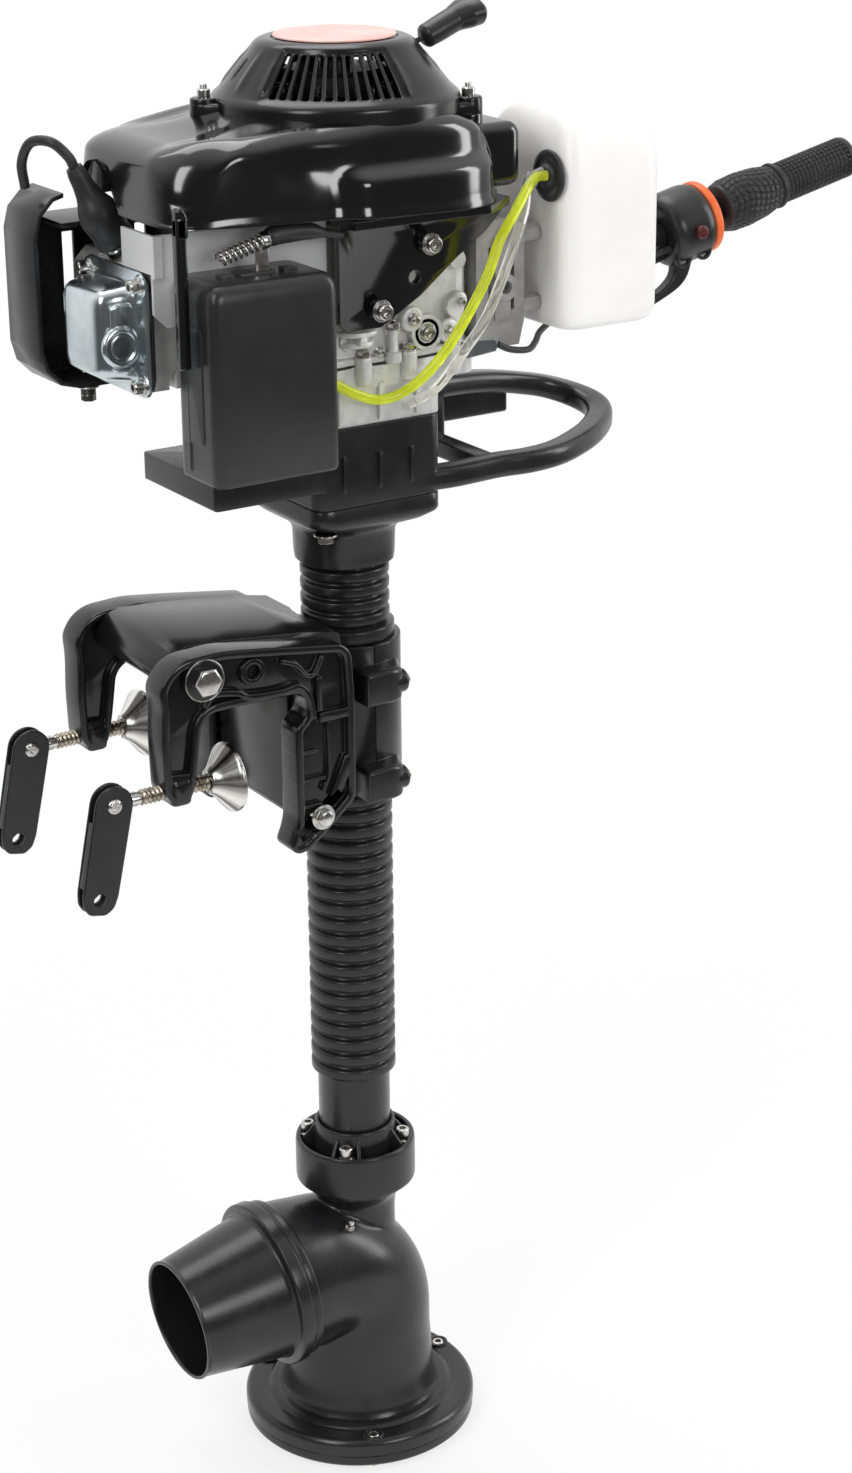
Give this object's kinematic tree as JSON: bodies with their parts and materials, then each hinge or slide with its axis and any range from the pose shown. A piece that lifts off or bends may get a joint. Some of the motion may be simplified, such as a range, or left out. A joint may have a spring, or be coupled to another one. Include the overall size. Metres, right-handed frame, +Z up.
{
  "type": "outboard motor",
  "caption": "Small air-cooled outboard motor with a jet pump at the foot of its leg, on a screw-down transom clamp with tilt, steering tiller and carry handle.",
  "frame": {"origin": "on the transom that the clamp holds: outer face, top edge, middle of the clamp", "axes": "+X from the boat through the transom to the leg, +Z up, +Y to the side of the tiller, as the picture shows it steered"},
  "size_m": [0.7056, 0.189, 1.0283],
  "materials": {
    "gloss_black_casting": "glossy black paint over cast aluminium",
    "gloss_black_sheet": "gloss black paint",
    "gloss_black_cover": "high gloss black",
    "satin_black_metal": "satin black powder coat",
    "satin_black_plastic": "satin black moulded plastic",
    "black_bellows": "satin black ribbed sleeve",
    "black_rubber": "matt black rubber",
    "stainless": "polished stainless steel",
    "zinc_plate": "bright zinc plate",
    "bare_aluminium": "die cast, satin",
    "grey_casting": "grey coated metal",
    "white_tank": "translucent white moulded plastic",
    "orange_trim": "orange moulded plastic",
    "salmon_disc": "salmon pink printed disc, bare",
    "fuel_line": "clear yellow-green hose",
    "clear_line": "clear hose",
    "dark_foam": "foam, nylon and braided cord",
    "red_button": "red moulded plastic"
  },
  "bodies": {
    "clamp": {"bracket_near": "gloss_black_casting", "bracket_far": "gloss_black_casting", "tilt_bolt": "stainless"},
    "pad_near": {"clamp_pad_near": "stainless"},
    "screw_near": {"clamp_screw_near": "stainless"},
    "paddle_near": {"paddle_near": "satin_black_plastic"},
    "pad_far": {"clamp_pad_far": "stainless"},
    "screw_far": {"clamp_screw_far": "stainless"},
    "paddle_far": {"paddle_far": "satin_black_plastic"},
    "swivel": {"saddle": "gloss_black_sheet", "sleeve_cap": "satin_black_metal", "steer_bush": "dark_foam", "trim_bolt": "stainless"},
    "upper": {"leg_tube": "satin_black_metal", "ribs_lower": "black_bellows", "ribs_upper": "black_bellows", "adapter": "satin_black_metal", "deck": "satin_black_metal", "pump_collar": "satin_black_metal", "pump_body": "satin_black_metal", "nozzle": "satin_black_metal", "intake_plate": "satin_black_metal", "crankcase_cover": "bare_aluminium", "crankcase": "bare_aluminium", "rear_casting": "grey_casting", "cylinder": "bare_aluminium", "head_gasket": "black_rubber", "valve_cover": "zinc_plate", "spark_plug": "white_tank", "plug_boot": "black_rubber", "plug_lead": "black_rubber", "muffler": "grey_casting", "muffler_guard": "satin_black_metal", "carburettor": "bare_aluminium", "air_box": "satin_black_plastic", "air_filter": "dark_foam", "bracket_plate": "satin_black_metal", "baffle": "grey_casting", "shroud": "gloss_black_cover", "recoil_cover": "satin_black_plastic", "recoil_disc": "salmon_disc", "tank": "white_tank", "hose_grommet": "black_rubber", "fuel_hose": "fuel_line", "vent_hose": "clear_line", "throttle_cable": "black_rubber", "tiller_tube": "satin_black_metal", "grip_housing": "satin_black_plastic", "orange_ring": "orange_trim"},
    "rotor": {"drive_shaft": "stainless", "crankshaft": "stainless", "flywheel": "bare_aluminium", "impeller": "bare_aluminium"},
    "starter_handle": {"pull_handle": "satin_black_plastic", "starter_rope": "dark_foam"},
    "starter_pulley": {"starter_pulley": "satin_black_plastic"},
    "throttle_grip": {"twist_grip": "black_rubber"},
    "throttle_lever": {"throttle_lever": "zinc_plate"},
    "filler_cap": {"tank_cap": "satin_black_plastic"},
    "stop_button": {"stop_switch": "red_button"}
  },
  "joints": [
    {"name": "pad_slide_near", "type": "slide", "parent": "clamp", "child": "pad_near", "axis": [1, 0, 0], "range_m": [-0.01225, 0.01225]},
    {"name": "screw_turn_near", "type": "hinge", "parent": "pad_near", "child": "screw_near", "pos_m": [-0.13, -0.06, -0.05], "axis": [1, 0, 0], "range_deg": [-2520, 2520]},
    {"name": "paddle_fold_near", "type": "hinge", "parent": "screw_near", "child": "paddle_near", "pos_m": [-0.13, -0.06, -0.05], "axis": [0, 1, 0], "range_deg": [-12, 78]},
    {"name": "pad_slide_far", "type": "slide", "parent": "clamp", "child": "pad_far", "axis": [1, 0, 0], "range_m": [-0.01225, 0.01225]},
    {"name": "screw_turn_far", "type": "hinge", "parent": "pad_far", "child": "screw_far", "pos_m": [-0.13, 0.06, -0.05], "axis": [1, 0, 0], "range_deg": [-2520, 2520]},
    {"name": "paddle_fold_far", "type": "hinge", "parent": "screw_far", "child": "paddle_far", "pos_m": [-0.13, 0.06, -0.05], "axis": [0, 1, 0], "range_deg": [-12, 78]},
    {"name": "tilt", "type": "hinge", "parent": "clamp", "child": "swivel", "pos_m": [-0.066, 0, 0.023], "axis": [0, 1, 0], "range_deg": [-6.5, 6.5]},
    {"name": "steer", "type": "hinge", "parent": "swivel", "child": "upper", "pos_m": [0.08, 0, -0.068], "axis": [0, 0, 1], "range_deg": [-180, 180]},
    {"name": "rotor_spin", "type": "hinge", "parent": "upper", "child": "rotor", "pos_m": [0.08, 0, 0.232], "axis": [0, 0, 1], "continuous": true},
    {"name": "starter_pull", "type": "slide", "parent": "upper", "child": "starter_handle", "axis": [0.9447, 0, 0.3279], "range_m": [0, 0.025], "stiffness_N_per_m": 60},
    {"name": "pulley_turn", "type": "hinge", "parent": "upper", "child": "starter_pulley", "pos_m": [0.08, 0, 0.375], "axis": [0, 0, 1], "range_deg": [0, 53.1]},
    {"name": "throttle_twist", "type": "hinge", "parent": "upper", "child": "throttle_grip", "pos_m": [0.42917, 0.052, 0.24707], "axis": [0.9757, 0, 0.2191], "range_deg": [0, 60], "stiffness_Nm_per_rad": 0.2},
    {"name": "lever_swing", "type": "hinge", "parent": "upper", "child": "throttle_lever", "pos_m": [0.142, -0.055, 0.204], "axis": [0, 1, 0], "range_deg": [-32, 2]},
    {"name": "cap_turn", "type": "hinge", "parent": "upper", "child": "filler_cap", "pos_m": [0.286, -0.02, 0.314], "axis": [1, 0, 0], "range_deg": [0, 360]},
    {"name": "stop_press", "type": "slide", "parent": "upper", "child": "stop_button", "axis": [0, 1, 0], "range_m": [0, 0.0015], "stiffness_N_per_m": 300}
  ],
  "couplings": [
    {"joint": "pad_slide_near", "follows": "screw_turn_near", "m_per_rad": 0.0002785},
    {"joint": "pad_slide_far", "follows": "screw_turn_far", "m_per_rad": 0.0002785},
    {"joint": "pulley_turn", "follows": "starter_pull", "rad_per_m": 37},
    {"joint": "lever_swing", "follows": "throttle_twist", "ratio": -0.5}
  ]
}
